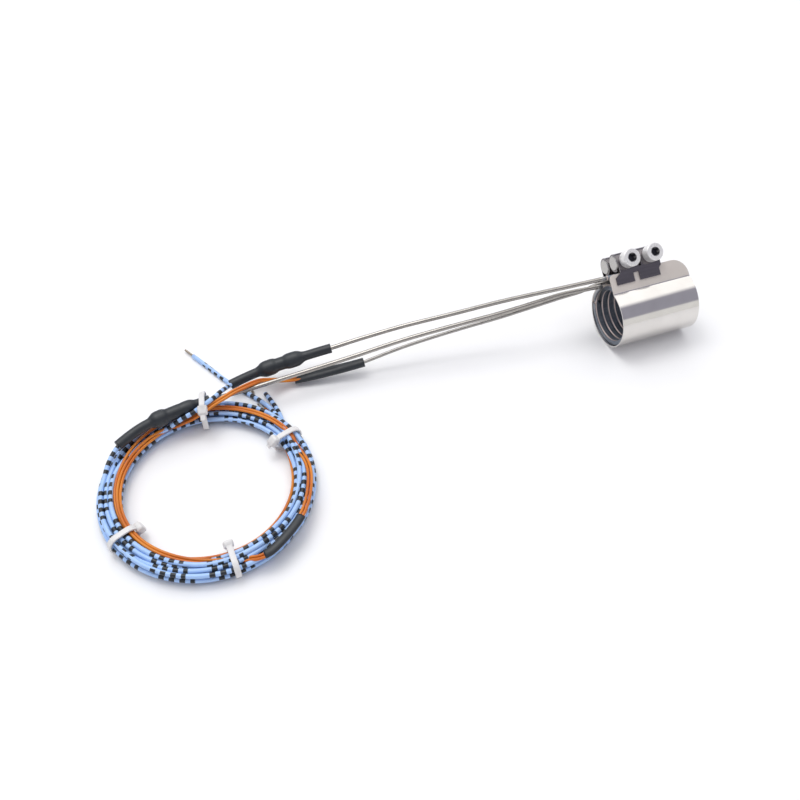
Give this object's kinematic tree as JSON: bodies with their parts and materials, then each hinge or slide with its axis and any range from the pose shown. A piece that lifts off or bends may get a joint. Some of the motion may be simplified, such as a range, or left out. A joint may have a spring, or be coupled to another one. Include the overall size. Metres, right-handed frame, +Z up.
{
  "type": "coil heater",
  "caption": "Clamp-on coil heater in a polished reflector sleeve, with cold legs, a sheathed probe and tied leads.",
  "frame": {"origin": "centre of the nozzle bore, half way along the reflector sleeve", "axes": "+X along the bore, away from the leads; +Y to the back of the sleeve; +Z up from the surface it lies on"},
  "size_m": [0.2913, 0.1342, 0.0468],
  "materials": {
    "oxidised_tube": "heat-darkened stainless tube, satin",
    "polished_sheet": "mirror-polished stainless sheet",
    "polished_strap": "bright stainless strap",
    "plain_steel": "turned steel",
    "probe_sheath": "drawn stainless sheath",
    "tinned_copper": "tinned metal",
    "shrink_black": "shrink tubing, semi-gloss",
    "shrink_grey": "shrink tubing, semi-gloss",
    "blue_insulation": "smooth insulation",
    "orange_insulation": "smooth insulation",
    "tie_nylon": "natural nylon"
  },
  "bodies": {
    "heater": {"heater_coil": "oxidised_tube", "reflector_sleeve": "polished_sheet", "front_lug": "polished_strap", "rear_lug": "polished_strap", "front_bar": "plain_steel", "rear_bar": "plain_steel", "thermocouple_probe": "probe_sheath", "splice_a": "tinned_copper", "splice_b": "tinned_copper", "shrink_a": "shrink_black", "shrink_b": "shrink_black", "shrink_c": "shrink_grey", "lead_a_run": "blue_insulation", "lead_b_run": "blue_insulation", "lead_a_end": "blue_insulation", "lead_b_end": "blue_insulation", "core_a": "tinned_copper", "core_b": "tinned_copper", "sensor_lead_1_run": "orange_insulation", "sensor_lead_2_run": "orange_insulation", "sensor_lead_1_bow": "orange_insulation", "sensor_lead_2_bow": "orange_insulation", "marker_sleeve": "shrink_black", "lead_ring": "blue_insulation", "cable_tie_1": "tie_nylon", "cable_tie_2": "tie_nylon", "cable_tie_3": "tie_nylon", "cable_tie_4": "tie_nylon"},
    "clamp_screw_near": {"clamp_screw_near": "plain_steel"},
    "clamp_screw_far": {"clamp_screw_far": "plain_steel"}
  },
  "joints": [
    {"name": "clamp_screw_near_turn", "type": "hinge", "parent": "heater", "child": "clamp_screw_near", "pos_m": [-0.0093, 0.0097, 0.02524], "axis": [0, -0.6428, 0.766], "range_deg": [0, 720]},
    {"name": "clamp_screw_far_turn", "type": "hinge", "parent": "heater", "child": "clamp_screw_far", "pos_m": [0.003, 0.0097, 0.02524], "axis": [0, -0.6428, 0.766], "range_deg": [0, 720]}
  ]
}
